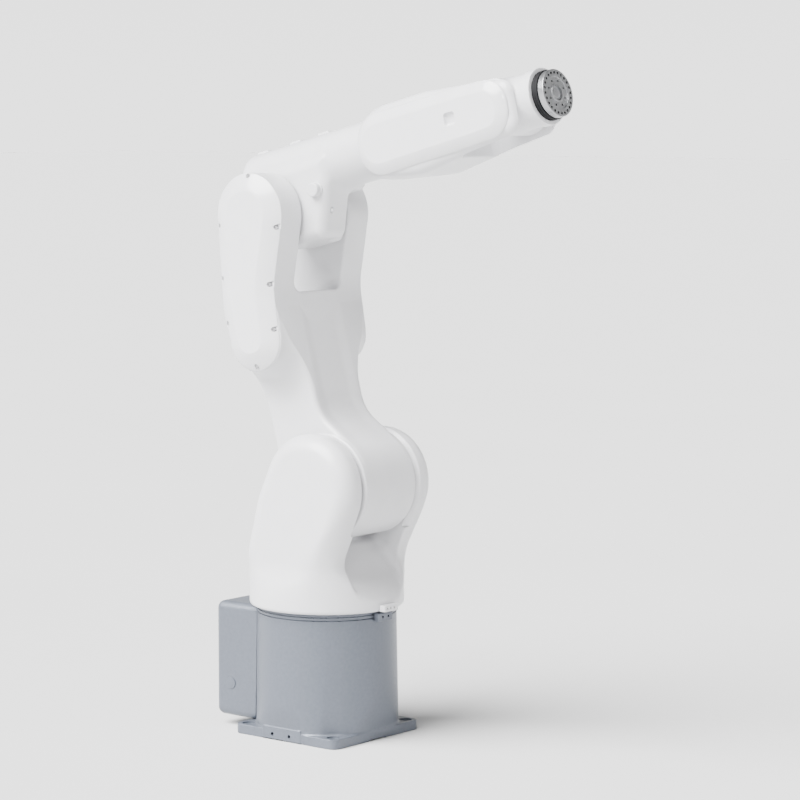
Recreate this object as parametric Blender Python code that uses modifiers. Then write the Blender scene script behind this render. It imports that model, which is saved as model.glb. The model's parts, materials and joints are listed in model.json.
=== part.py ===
"""Six-axis robot arm with a 190 mm foot: castings, covers, drives, belts and connectors as separate parts.

Metres, +Z up.  The origin is the centre of the foot's underside, on the first axis; the arm reaches along +X.
Every link is modelled in the frame of the joint that carries it, and an empty holds that frame.
"""

import math

import bpy
import bmesh
from mathutils import Matrix, Vector

# ---------------------------------------------------------------- driving dimensions
FOOT = 0.190                    # side of the square foot
FOOT_THICK = 0.014
BOLT_PITCH = 0.160              # square pattern of the four anchor holes
BOLT_HOLE = 0.011
BASE_TOP = 0.1864               # top rim of the base casting
BASE_R_TOP, BASE_R_FOOT = 0.1000, 0.1032
FACET = 0.1013                  # half width across the small flats at the corners of the wall
TURRET_BOTTOM = 0.1872
TURRET_R = 0.111
CHEEK_IN, CHEEK_OUT = 0.0575, 0.1000
BOX_REAR, BOX_HALF, BOX_TOP = -0.159, 0.065, 0.182

J2_X, J2_Z = 0.045, 0.364       # second axis
UPPER_ARM = 0.394               # second axis to third axis
LEAN = math.radians(15.6)       # the lower arm leans back by this much
HUB_R = 0.0755                  # lower arm hub and turret cheeks
HUB_HALF = 0.0550
BEAM_HALF = 0.0535
FORK_IN, FORK_OUT = 0.0500, 0.0920
COVER_OUT = 0.1060

ELBOW_OFFSET = 0.055            # third axis to fourth axis
PITCH = math.radians(13.8)      # the forearm points up by this much
ELBOW_R, ELBOW_HALF = 0.0420, 0.0470
ELBOW_FRONT = 0.1755            # joint face between elbow and forearm, from the third axis
FOREARM_START = 0.1762
FOREARM_LENGTH = 0.415          # third axis to fifth axis, along the fourth
FOREARM_R = 0.0525
FOREARM_HALF = 0.0500
THROAT = 0.070                  # fork depth behind the fifth axis
TINE_IN = 0.0400
FCOVER_OUT = 0.0590

WRIST_HALF = 0.0385
WRIST_HUB_R = 0.0385
NOSE_R = 0.0375
WRIST_LENGTH = 0.080            # fifth axis to flange face
FLANGE_R = 0.0325

GAP = 0.0003                    # between pieces that touch
WALL = 0.007

# ---------------------------------------------------------------- clean start
for old in list(bpy.data.objects):
    bpy.data.objects.remove(old, do_unlink=True)

PARTS = bpy.data.collections.new("robot_arm")
TOOLS = bpy.data.collections.new("cutters")
bpy.context.scene.collection.children.link(PARTS)
bpy.context.scene.collection.children.link(TOOLS)


def material(name, colour, roughness, metallic=0.0):
    mat = bpy.data.materials.new(name)
    mat.use_nodes = True
    shader = mat.node_tree.nodes["Principled BSDF"]
    shader.inputs["Base Color"].default_value = (*colour, 1.0)
    shader.inputs["Roughness"].default_value = roughness
    shader.inputs["Metallic"].default_value = metallic
    mat.diffuse_color = (*colour, 1.0)
    return mat


WHITE = material("white_paint", (0.80, 0.80, 0.81), 0.35)
COVER = material("white_cover", (0.84, 0.84, 0.85), 0.30)
GREY = material("grey_paint", (0.35, 0.38, 0.42), 0.45, 0.2)
STEEL = material("steel", (0.55, 0.55, 0.56), 0.35, 1.0)
ALU = material("aluminium", (0.72, 0.73, 0.75), 0.40, 1.0)
BRASS = material("brass", (0.75, 0.60, 0.30), 0.30, 1.0)
RUBBER = material("rubber", (0.03, 0.03, 0.03), 0.70)
MOTOR = material("motor_black", (0.05, 0.05, 0.06), 0.50)


# ---------------------------------------------------------------- frames
def frame(name, location, parent=None, rotation_y=0.0):
    """An empty on a joint axis; the parts of a link are its children."""
    empty = bpy.data.objects.new(name, None)
    empty.empty_display_size = 0.03
    PARTS.objects.link(empty)
    empty.parent = parent
    empty.location = location
    empty.rotation_euler = (0.0, rotation_y, 0.0)
    return empty


GROUND = frame("base_frame", (0, 0, 0))
TURRET = frame("turret_frame", (0, 0, 0))
SHOULDER = frame("shoulder_axis", (J2_X, 0, J2_Z), rotation_y=-LEAN)
ELBOW = frame("elbow_axis", (0, 0, UPPER_ARM), SHOULDER, LEAN - PITCH)
FOREARM = frame("forearm_axis", (FOREARM_START, 0, ELBOW_OFFSET), ELBOW)
J5_X = FOREARM_LENGTH - FOREARM_START
WRIST = frame("wrist_axis", (J5_X, 0, 0), FOREARM)


# ---------------------------------------------------------------- shape helpers
def adopt(obj, name, mat, parent, smooth=40.0):
    """Name an object, give it its material and frame, and put it with the parts."""
    obj.name = name
    obj.data.name = name
    obj.data.materials.clear()
    obj.data.materials.append(mat)
    for coll in list(obj.users_collection):
        coll.objects.unlink(obj)
    PARTS.objects.link(obj)
    obj.parent = parent
    if smooth:
        obj.data.shade_smooth()
        obj.data.set_sharp_from_angle(angle=math.radians(smooth))
    return obj


def turn_to(obj, axis):
    """Turn a shape made along Z so that it lies along X or Y."""
    turns = {"X": Matrix.Rotation(math.pi / 2, 4, "Y"), "Y": Matrix.Rotation(-math.pi / 2, 4, "X")}
    if axis in turns:
        obj.data.transform(turns[axis])
    return obj


def block(size, centre, bevel=0.0):
    """A box with its edges rounded off."""
    bpy.ops.mesh.primitive_cube_add(size=1.0)
    obj = bpy.context.object
    obj.data.transform(Matrix.Diagonal((*size, 1.0)))
    obj.data.transform(Matrix.Translation(centre))
    if bevel:
        round_edges(obj, bevel, 2)
    return obj


def rod(radius, length, centre, axis="Z", sides=14, top_radius=None):
    """A cylinder or cone along an axis; the top is the end towards +axis."""
    top = radius if top_radius is None else top_radius
    bpy.ops.mesh.primitive_cone_add(vertices=sides, radius1=radius, radius2=top, depth=length)
    obj = turn_to(bpy.context.object, axis)
    obj.data.transform(Matrix.Translation(centre))
    return obj


def ring(outer, inner, length, centre, axis="Z", sides=14):
    """A tube: a closed rectangle turned round its axis with a Screw modifier."""
    low, high = -length / 2, length / 2
    return turned([(outer, high), (outer, low), (inner, low), (inner, high)], centre, axis, sides, True)


def turned(profile, centre, axis="Z", sides=32, closed=False):
    """A profile of (radius, height) points, outer side top to bottom, turned round an axis."""
    mesh = bpy.data.meshes.new("profile")
    obj = bpy.data.objects.new("profile", mesh)
    bpy.context.scene.collection.objects.link(obj)
    edges = [(i, i + 1) for i in range(len(profile) - 1)]
    if closed:
        edges.append((len(profile) - 1, 0))
    mesh.from_pydata([(r, 0.0, h) for r, h in profile], edges, [])
    screw = obj.modifiers.new("turn", "SCREW")
    screw.angle = math.tau
    screw.steps = screw.render_steps = sides
    screw.use_merge_vertices = True
    screw.merge_threshold = 0.00005
    solid = as_mesh(obj)
    turn_to(solid, axis)
    solid.data.transform(Matrix.Translation(centre))
    return solid


def as_mesh(obj):
    """The evaluated shape of an object as a plain mesh object, in place of the old one."""
    graph = bpy.context.evaluated_depsgraph_get()
    mesh = bpy.data.meshes.new_from_object(obj.evaluated_get(graph))
    work = bmesh.new()
    work.from_mesh(mesh)
    bmesh.ops.remove_doubles(work, verts=work.verts, dist=0.00002)
    bmesh.ops.recalc_face_normals(work, faces=work.faces)
    work.to_mesh(mesh)
    work.free()
    new = bpy.data.objects.new(obj.name, mesh)
    new.matrix_world = obj.matrix_world
    bpy.context.scene.collection.objects.link(new)
    bpy.data.objects.remove(obj, do_unlink=True)
    return new


def rounded(corners, step=21.0):
    """A closed outline from (x, y, radius) corners, each one rounded by an arc of that radius."""
    points = []
    count = len(corners)
    for i, (x, y, radius) in enumerate(corners):
        here = Vector((x, y))
        back = Vector(corners[i - 1][:2]) - here
        ahead = Vector(corners[(i + 1) % count][:2]) - here
        half = back.angle(ahead) / 2
        reach = min(radius / math.tan(half), 0.98 * back.length, 0.98 * ahead.length) if radius else 0.0
        if reach < 1e-5:
            points.append(here)
            continue
        true_radius = reach * math.tan(half)
        centre = here + (back.normalized() + ahead.normalized()).normalized() * (true_radius / math.sin(half))
        first = here + back.normalized() * reach - centre
        last = here + ahead.normalized() * reach - centre
        sweep = first.angle_signed(last)
        pieces = max(1, math.ceil(abs(math.degrees(sweep)) / step - 0.3))
        for k in range(pieces + 1):
            turn = Matrix.Rotation(-sweep * k / pieces, 2)
            points.append(centre + turn @ first)
    return [(p.x, p.y) for p in points]


def shrunk(corners, margin):
    """The same corners moved inwards by a margin, for a counter-clockwise outline."""
    result = []
    count = len(corners)
    for i, (x, y, radius) in enumerate(corners):
        here = Vector((x, y))
        before = (here - Vector(corners[i - 1][:2])).normalized()
        after = (Vector(corners[(i + 1) % count][:2]) - here).normalized()
        normal_a = Vector((-before.y, before.x))
        normal_b = Vector((-after.y, after.x))
        shift = (normal_a + normal_b) * (margin / (1.0 + normal_a.dot(normal_b)))
        convex = before.cross(after) > 0
        new_radius = max(0.0, radius - margin) if convex else radius + margin if radius else 0.0
        result.append((x + shift.x, y + shift.y, new_radius))
    return result


def sheet(outline, low, high, plane="XZ"):
    """A flat outline given thickness between two heights: along Y for an XZ outline, else along Z."""
    curve = bpy.data.curves.new("outline", "CURVE")
    curve.dimensions = "2D"
    curve.fill_mode = "BOTH"
    curve.extrude = (high - low) / 2
    spline = curve.splines.new("POLY")
    spline.points.add(len(outline) - 1)
    for point, (x, y) in zip(spline.points, outline):
        point.co = (x, y, 0.0, 1.0)
    spline.use_cyclic_u = True
    obj = bpy.data.objects.new("outline", curve)
    bpy.context.scene.collection.objects.link(obj)
    solid = as_mesh(obj)
    middle = (high + low) / 2
    if plane == "XZ":
        solid.data.transform(Matrix.Rotation(math.pi / 2, 4, "X"))
        solid.data.transform(Matrix.Translation((0, middle, 0)))
    else:
        solid.data.transform(Matrix.Translation((0, 0, middle)))
    return solid


def crowned(corners, low, high, low_edge=0.0, high_edge=0.0, steps=2):
    """An XZ outline given thickness along Y, its rims rounded over by the two edge radii."""
    layers = []
    for k in range(steps + 1 if low_edge else 1):
        angle = 0.5 * math.pi * k / steps
        layers.append((low + low_edge * (1 - math.sin(angle)), low_edge * (1 - math.cos(angle))))
    for k in range(steps + 1 if high_edge else 1):
        angle = 0.5 * math.pi * k / steps
        layers.append((high - high_edge * (1 - math.sin(angle)), high_edge * (1 - math.cos(angle))))
    work = bmesh.new()
    rings = []
    for y, margin in sorted(layers):
        outline = rounded(shrunk(corners, margin))
        rings.append([work.verts.new((x, y, z)) for x, z in outline])
    for lower, upper in zip(rings, rings[1:]):
        for i in range(len(lower)):
            j = (i + 1) % len(lower)
            work.faces.new((lower[i], lower[j], upper[j], upper[i]))
    work.faces.new(rings[0])
    work.faces.new(rings[-1])
    bmesh.ops.recalc_face_normals(work, faces=work.faces)
    mesh = bpy.data.meshes.new("crowned")
    work.to_mesh(mesh)
    work.free()
    obj = bpy.data.objects.new("crowned", mesh)
    bpy.context.scene.collection.objects.link(obj)
    return obj


def tube(points, radius, sides=1):
    """A cable along a smooth path through the given points."""
    curve = bpy.data.curves.new("cable", "CURVE")
    curve.dimensions = "3D"
    curve.bevel_depth = radius
    curve.bevel_resolution = sides
    curve.use_fill_caps = True
    spline = curve.splines.new("POLY")
    spline.points.add(len(points) - 1)
    for point, co in zip(spline.points, points):
        point.co = (*co, 1.0)
    obj = bpy.data.objects.new("cable", curve)
    bpy.context.scene.collection.objects.link(obj)
    return as_mesh(obj)


def bend(start, corner, end, pieces=5):
    """Points of a smooth quarter-like bend that starts and ends along the two legs."""
    a, b, c = Vector(start), Vector(corner), Vector(end)
    steps = [i / pieces for i in range(pieces + 1)]
    return [tuple((1 - t) ** 2 * a + 2 * t * (1 - t) * b + t * t * c) for t in steps]


def round_edges(obj, width, segments=2, angle=40.0):
    mod = obj.modifiers.new("rounding", "BEVEL")
    mod.width = width
    mod.segments = segments
    mod.limit_method = "ANGLE"
    mod.angle_limit = math.radians(angle)
    return obj


def combine(target, tool, operation):
    """Keep the tool as a hidden cutter and let the target's Boolean use it."""
    for coll in list(tool.users_collection):
        coll.objects.unlink(tool)
    TOOLS.objects.link(tool)
    tool.hide_render = True
    tool.display_type = "WIRE"
    tool.name = f"cutter_{len(TOOLS.objects):03d}"
    mod = target.modifiers.new(operation.lower(), "BOOLEAN")
    mod.operation = operation
    mod.solver = "EXACT"
    mod.object = tool
    return target


def cut(target, *tools):
    for tool in tools:
        combine(target, tool, "DIFFERENCE")
    return target


def join(target, *tools):
    for tool in tools:
        combine(target, tool, "UNION")
    return target


def finish(obj, name, mat, parent):
    """Apply the Booleans in the link's own frame, then hang the part on that frame."""
    solid = apply_booleans(obj)
    return adopt(solid, name, mat, parent)


def apply_booleans(obj):
    """The finished mesh; cutters that it used are then removed."""
    used = [mod.object for mod in obj.modifiers if mod.type == "BOOLEAN"]
    solid = as_mesh(obj)
    for tool in used:
        for mod in tool.modifiers:
            if mod.type == "BOOLEAN":
                bpy.data.objects.remove(mod.object, do_unlink=True)
        bpy.data.objects.remove(tool, do_unlink=True)
    return solid


# ---------------------------------------------------------------- base
def base_casting():
    """A cup on a square foot: round wall with drafted sides, flat where it meets the foot's edges."""
    wall = turned([(0.0, BASE_TOP), (BASE_R_TOP, BASE_TOP), (BASE_R_FOOT, 0.004), (0.0, 0.004)], (0, 0, 0), sides=36)
    side = FOOT - 0.001
    combine(wall, block((side, side, 0.5), (0, 0, 0.1)), "INTERSECT")
    facets = block((2 * FACET, 2 * FACET, 0.5), (0, 0, 0.1))
    facets.data.transform(Matrix.Rotation(math.pi / 4, 4, "Z"))
    combine(wall, facets, "INTERSECT")
    half = FOOT / 2
    foot = sheet(rounded([(half, half, 0.010), (-half, half, 0.010), (-half, -half, 0.010), (half, -half, 0.010)]),
                 0.0, FOOT_THICK, "XY")
    join(wall, foot)
    reach = BOLT_PITCH / 2
    for x in (-reach, reach):
        for y in (-reach, reach):
            cut(wall, rod(BOLT_HOLE / 2, 0.05, (x, y, 0.01), sides=16))
    cut(wall, rod(0.0900, 0.110, (0, 0, 0.067), sides=28))
    cut(wall, rod(0.0800, 0.090, (0, 0, 0.160), sides=28))
    cut(wall, block((0.060, 0.100, 0.120), (-0.095, 0, 0.090)))
    cut(wall, block((0.036, 0.020, 0.004), (-0.020, -half, 0.0)), block((0.020, 0.036, 0.004), (half, 0.0, 0.0)))
    return finish(wall, "base_casting", GREY, GROUND)


def box_outline(margin):
    """Plan of the connector box; its front edge follows the round wall of the base."""
    half = BOX_HALF - margin
    rear = BOX_REAR + margin
    radius = BASE_R_FOOT + GAP
    reach = math.asin(half / radius)
    arc = [math.pi - reach + 2 * reach * i / 10 for i in range(11)]
    front = [(radius * math.cos(a), radius * math.sin(a)) for a in arc]
    return front + [(rear + 0.010, -half), (rear + 0.003, -half + 0.003), (rear, -half + 0.010),
                    (rear, half - 0.010), (rear + 0.003, half - 0.003), (rear + 0.010, half)]


def connector_box():
    """Rear housing for the sockets, open towards the base and at the back, where a panel closes it."""
    shell = sheet(box_outline(0.0), 0.0145, BOX_TOP, "XY")
    inside = sheet(box_outline(0.005), 0.0195, BOX_TOP - 0.005, "XY")
    cut(shell, inside)
    cut(shell, block((0.04, 0.110, 0.140), (-0.094, 0, 0.095)))
    cut(shell, block((0.030, 0.098, 0.130), (BOX_REAR, 0, 0.095)))
    return finish(shell, "connector_box", GREY, GROUND)


PANEL_X = BOX_REAR + 0.0015
CONNECTORS = (("power_connector", MOTOR, 0.0150, -0.024, 0.130), ("signal_connector", MOTOR, 0.0150, 0.024, 0.130),
              ("tool_signal_connector", STEEL, 0.0080, 0.000, 0.085))
FITTINGS = (("air_fitting_1", -0.028, 0.052), ("air_fitting_2", 0.028, 0.052))


def rear_panel():
    """Flat plate with the socket holes, set into the box's rear opening."""
    plate = block((0.003, 0.0970, 0.1290), (PANEL_X, 0, 0.095))
    for _, _, radius, y, z in CONNECTORS:
        cut(plate, rod(radius * 0.75 + GAP, 0.02, (PANEL_X, y, z), "X", 14))
    for _, y, z in FITTINGS:
        cut(plate, rod(0.0045 + GAP, 0.02, (PANEL_X, y, z), "X", 12))
    return finish(plate, "rear_panel", ALU, GROUND)


def panel_hardware():
    """Sockets with a flange outside the panel and a body through it, and two push-in air fittings."""
    outside = PANEL_X - 0.0015 - GAP
    for name, mat, radius, y, z in CONNECTORS:
        profile = [(0.0, outside), (radius, outside), (radius, outside - 0.004), (radius * 0.85, outside - 0.004),
                   (radius * 0.85, outside - 0.016), (radius * 0.62, outside - 0.016),
                   (radius * 0.62, outside - 0.006), (0.0, outside - 0.006)]
        socket = turned(profile, (0, 0, 0), "X", 14)
        join(socket, rod(radius * 0.75, 0.018, (outside + 0.006, 0, 0), "X", 14))
        socket.data.transform(Matrix.Translation((0, y, z)))
        for mod in socket.modifiers:
            mod.object.data.transform(Matrix.Translation((0, y, z)))
        finish(socket, name, mat, GROUND)
    for name, y, z in FITTINGS:
        body = rod(0.0065, 0.012, (outside - 0.006, y, z), "X", 6)
        join(body, rod(0.0050, 0.006, (outside - 0.0148, y, z), "X", 12))
        join(body, rod(0.0045, 0.016, (outside + 0.006, y, z), "X", 12))
        cut(body, rod(0.0022, 0.012, (outside - 0.015, y, z), "X", 12))
        finish(body, name, BRASS, GROUND)


def base_drive():
    """First-axis motor and strain-wave reducer, standing in the cup."""
    mount = ring(0.0795, 0.0400, 0.008, (0, 0, 0.1215), sides=32)
    adopt(mount, "j1_motor_plate", ALU, GROUND)
    adopt(rod(0.0380, 0.088, (0, 0, 0.0730), sides=18), "j1_motor", MOTOR, GROUND)
    adopt(ring(0.0790, 0.0560, 0.030, (0, 0, 0.1410), sides=18), "j1_reducer", STEEL, GROUND)
    adopt(ring(0.0795, 0.0640, 0.012, (0, 0, 0.1660), sides=18), "j1_bearing", STEEL, GROUND)


def base_harness():
    """Cable bundle from the sockets to the foot of the motor."""
    path = bend((-0.135, 0, 0.095), (-0.062, 0, 0.095), (-0.062, 0, 0.030))
    path += bend((-0.062, 0, 0.027), (-0.062, 0, 0.021), (-0.048, 0.0, 0.021), 3)
    adopt(tube(path, 0.006), "base_harness", RUBBER, GROUND)


def zero_mark_block():
    """Small boss on the rim with the two holes for the first axis zero pin."""
    boss = block((0.010, 0.030, 0.012), (BASE_R_TOP + 0.0048, 0, 0.1790), 0.002)
    for y in (-0.006, 0.006):
        cut(boss, rod(0.0018, 0.02, (BASE_R_TOP + 0.012, y, 0.1790), "X", 12))
    return finish(boss, "j1_zero_block", GREY, GROUND)


# ---------------------------------------------------------------- turret
CHEEK = [(0.1205, 0.4395, HUB_R), (-0.012, 0.4395, HUB_R), (-0.055, 0.347, 0.10), (-0.0805, 0.250, 0.12),
         (-0.0805, 0.100, 0.0), (0.1600, 0.100, 0.0), (0.1600, 0.196, 0.0), (0.0720, 0.236, 0.04),
         (0.1205, 0.3470, HUB_R)]
SADDLE = [(0.125, 0.203), (0.108, 0.203), (0.078, 0.240), (0.045, 0.2800), (0.010, 0.276), (-0.030, 0.240),
          (-0.100, 0.200), (-0.130, 0.200), (-0.130, 0.470), (0.160, 0.470), (0.160, 0.203)]


def turret_envelope(margin=0.0):
    """What the round foot of the turret allows: straight, then flaring out to let the cheeks pass."""
    profile = [(0.0, 0.470), (0.1650, 0.470), (0.1650, 0.345), (0.1330, 0.300), (0.1150, 0.255),
               (TURRET_R + 0.0005, 0.225), (TURRET_R - 0.0005, 0.200), (TURRET_R - 0.0010, TURRET_BOTTOM + 0.002),
               (0.0, TURRET_BOTTOM + 0.002)]
    return turned([(max(r - margin, 0.0), z) for r, z in profile], (0, 0, 0), sides=36)


def turret_casting():
    """Round foot and two cheeks that hold the shoulder, hollow from below."""
    body = crowned(CHEEK, -CHEEK_OUT, CHEEK_OUT, 0.018, 0.018)
    combine(body, turret_envelope(), "INTERSECT")
    drum = turned([(0.0, 0.212), (0.098, 0.212), (TURRET_R, 0.203), (TURRET_R, TURRET_BOTTOM), (0.0, TURRET_BOTTOM)],
                  (0, 0, 0), sides=36)
    join(body, drum)
    saddle = sheet(SADDLE, -CHEEK_IN, CHEEK_IN)
    cut(body, saddle)
    inner = shrunk(CHEEK, WALL)
    for side in (-1, 1):
        low, high = sorted((side * (CHEEK_IN + 0.006), side * (CHEEK_OUT - 0.007)))
        pocket = sheet(rounded(inner), low, high)
        combine(pocket, turret_envelope(WALL), "INTERSECT")
        cut(body, pocket)
        cut(body, rod(0.0480, 0.040, (J2_X, side * 0.065, J2_Z), "Y", 18))
    cut(body, rod(0.0975, 0.0120, (0, 0, TURRET_BOTTOM + 0.004), sides=28))
    cut(body, block((0.080, 0.100, 0.050), (0, 0, TURRET_BOTTOM + 0.010)))
    return finish(body, "turret_casting", WHITE, TURRET)


def zero_tab():
    """White tab above the boss of the base, with its own pin holes."""
    tab = block((0.009, 0.030, 0.010), (TURRET_R + 0.0050, 0, 0.1925), 0.002)
    for y in (-0.009, -0.002, 0.006):
        cut(tab, rod(0.0015, 0.02, (TURRET_R + 0.012, y, 0.1925), "X", 10))
    return finish(tab, "j1_zero_tab", WHITE, TURRET)


def turret_drive():
    """Output flange of the first reducer, and the second axis drive in the cheeks."""
    flange = turned([(0.0180, 0.1868), (0.0600, 0.1868), (0.0600, 0.1725), (0.0540, 0.1725), (0.0540, 0.1280),
                     (0.0180, 0.1280)], (0, 0, 0), sides=18, closed=True)
    adopt(flange, "j1_output_flange", STEEL, TURRET)
    middle = 0.0805
    adopt(rod(0.0440, 0.022, (J2_X, -middle, J2_Z), "Y", 16), "j2_motor", MOTOR, TURRET)
    adopt(ring(0.0455, 0.0300, 0.0220, (J2_X, middle, J2_Z), "Y", 16), "j2_bearing", STEEL, TURRET)


def turret_harness():
    """Cables that come up the hollow first axis and on into the shoulder."""
    path = [(0.0, 0.0, 0.135), (0.0, 0.0, 0.160), (0.0, 0.0, 0.185)]
    path += bend((0.0, 0.002, 0.197), (0.0, 0.004, 0.216), (0.0, 0.030, 0.216), 4)
    adopt(tube(path, 0.007), "turret_harness", RUBBER, TURRET)


# ---------------------------------------------------------------- lower arm
BEAM = [(HUB_R, -HUB_R, HUB_R), (HUB_R, 0.0285, HUB_R), (0.013, 0.102, 0.06), (0.013, 0.280, 0.0),
        (-0.0800, 0.280, 0.0), (-0.0765, -HUB_R, HUB_R)]
TINE = [(-0.0845, 0.180, 0.045), (0.004, 0.180, 0.045), (0.016, 0.286, 0.10), (0.095, 0.4545, 0.0605),
        (-0.050, 0.4545, 0.0605), (-0.0845, 0.281, 0.15)]
CROTCH = 0.279


def lower_arm_casting():
    """Hub, offset beam and the fork that carries the elbow, with a drive pocket in each tine."""
    body = sheet(rounded(BEAM), -BEAM_HALF, BEAM_HALF)
    join(body, rod(HUB_R, 2 * HUB_HALF, (0, 0, 0), "Y", 32))
    join(body, crowned(TINE, -FORK_OUT, FORK_OUT, 0.002, 0.002, 1))
    gap = sheet([(-0.20, CROTCH + 0.012), (-0.06, CROTCH), (0.00, CROTCH), (0.20, CROTCH + 0.012), (0.20, 0.60),
                 (-0.20, 0.60)], -FORK_IN, FORK_IN)
    cut(body, gap)
    for side in (-1, 1):
        low, high = sorted((side * (FORK_IN + 0.009), side * (FORK_OUT + 0.010)))
        cut(body, sheet(rounded(shrunk(TINE, 0.008)), low, high))
        cut(body, rod(0.0330, 0.04, (0, side * (FORK_IN + 0.005), UPPER_ARM), "Y", 16))
    cut(body, sheet(rounded([(-0.066, 0.080, 0.01), (0.000, 0.080, 0.01), (0.000, 0.262, 0.01),
                             (-0.066, 0.262, 0.01)]), -0.044, 0.044))
    cut(body, block((0.050, 0.130, 0.040), (-0.036, 0, 0.235)))
    cut(body, rod(0.0560, 0.0960, (0, -0.0075, 0), "Y", 28))
    cut(body, rod(0.0300, 0.1200, (0, 0, 0), "Y", 16))
    cut(body, block((0.040, 0.060, 0.060), (-0.030, 0, 0.060)))
    return finish(body, "lower_arm_casting", WHITE, SHOULDER)


def lower_arm_cover(name, side):
    """Moulded cover over a tine's drive pocket, with a broad bevel round its flat face."""
    rim = side * (FORK_OUT + GAP)
    face = side * COVER_OUT
    low, high = sorted((rim, face))
    edges = (0.0105, 0.0) if side < 0 else (0.0, 0.0105)
    shell = crowned(TINE, low, high, *edges, steps=3)
    low, high = sorted((rim - side * 0.01, face - side * 0.003))
    edges = (0.0085, 0.0) if side < 0 else (0.0, 0.0085)
    cut(shell, crowned(shrunk(TINE, 0.0035), low, high, *edges, steps=2))
    return finish(shell, name, COVER, SHOULDER)


BELT_LOW = (-0.0370, 0.2300)     # third axis motor, in the near tine
MOTOR_Y, BELT_Y = -0.0700, -0.0960


def belt_outline(low, low_radius, high, high_radius, pieces=10):
    """The loop of a belt round two pulleys."""
    a, b = Vector(low), Vector(high)
    line = b - a
    tilt = math.acos((low_radius - high_radius) / line.length)
    base = math.atan2(line.y, line.x)
    points = []
    for centre, radius, first, last in ((a, low_radius, base + tilt, base + math.tau - tilt),
                                        (b, high_radius, base - tilt, base + tilt)):
        for k in range(pieces + 1):
            angle = first + (last - first) * k / pieces
            points.append((centre.x + radius * math.cos(angle), centre.y + radius * math.sin(angle)))
    return points


def belt(name, low, low_radius, high, high_radius, y, width, parent):
    """A toothed belt as a closed band of constant thickness round its two pulleys."""
    thick = 0.0025
    low_y, high_y = y - width / 2, y + width / 2
    band = sheet(belt_outline(low, low_radius + thick, high, high_radius + thick), low_y, high_y)
    cut(band, sheet(belt_outline(low, low_radius, high, high_radius), low_y - 0.01, high_y + 0.01))
    return finish(band, name, RUBBER, parent)


def pulley(name, radius, centre, width, parent, bore=0.0):
    """A pulley with two small flanges; the belt runs between them."""
    half = width / 2
    rim = radius + 0.0015
    profile = [(rim, half + 0.0015), (rim, half + GAP), (radius - GAP, half + GAP), (radius - GAP, -half - GAP),
               (rim, -half - GAP), (rim, -half - 0.0015)]
    profile = [(bore, half + 0.0015)] + profile + [(bore, -half - 0.0015)]
    wheel = turned(profile, (0, 0, 0), "Y", 16, closed=bore > 0)
    wheel.data.transform(Matrix.Translation(centre))
    return adopt(wheel, name, ALU, parent)


def lower_arm_drive():
    """Third axis motor, belt and reducer in the near tine, bearing in the far one, and the hub reducer."""
    x, z = BELT_LOW
    motor = block((0.056, 0.0200, 0.056), (x - 0.001, MOTOR_Y - 0.001, z), 0.004)
    join(motor, rod(0.0050, 0.012, (x, MOTOR_Y - 0.0130, z), "Y", 12))
    finish(motor, "j3_motor", MOTOR, SHOULDER)
    pulley("j3_motor_pulley", 0.0110, (x, BELT_Y, z), 0.0080, SHOULDER, 0.0055)
    pulley("j3_input_pulley", 0.0220, (0, BELT_Y, UPPER_ARM), 0.0080, SHOULDER, 0.0055)
    belt("j3_belt", BELT_LOW, 0.0110, (0, UPPER_ARM), 0.0220, BELT_Y, 0.0074, SHOULDER)
    reducer = rod(0.0460, 0.0200, (0, MOTOR_Y - 0.0005, UPPER_ARM), "Y", 18)
    join(reducer, rod(0.0050, 0.0100, (0, MOTOR_Y - 0.0150, UPPER_ARM), "Y", 12))
    join(reducer, rod(0.0325, 0.0120, (0, -FORK_IN - 0.0060, UPPER_ARM), "Y", 16))
    finish(reducer, "j3_reducer", STEEL, SHOULDER)
    adopt(ring(0.0325, 0.0215, 0.0160, (0, FORK_IN + 0.0085, UPPER_ARM), "Y", 16), "j3_bearing", STEEL, SHOULDER)
    adopt(ring(0.0555, 0.0300, 0.0520, (0, -0.0290, 0), "Y", 18), "j2_reducer", STEEL, SHOULDER)


def lower_arm_harness():
    """Cables up the far side of the arm to the elbow."""
    path = bend((-0.030, 0.020, 0.070), (-0.034, 0.020, 0.140), (-0.034, 0.020, 0.210), 2)
    path += bend((-0.034, 0.022, 0.222), (-0.034, 0.026, 0.235), (-0.034, 0.042, 0.236), 2)
    path += bend((-0.034, 0.062, 0.236), (-0.034, 0.075, 0.238), (-0.034, 0.077, 0.262), 2)
    path += bend((-0.030, 0.078, 0.300), (-0.015, 0.080, 0.345), (-0.004, 0.080, 0.380), 3)
    adopt(tube(path, 0.006), "lower_arm_harness", RUBBER, SHOULDER)


# ---------------------------------------------------------------- elbow
ELBOW_BLOCK = [(-0.050, -0.0500, 0.049), (0.0830, -0.0505, 0.014), (0.1120, 0.0250, 0.02), (0.1120, 0.0600, 0.0),
               (-0.050, 0.0600, 0.0)]
PADS = (-0.030, 0.034, 0.088)


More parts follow.
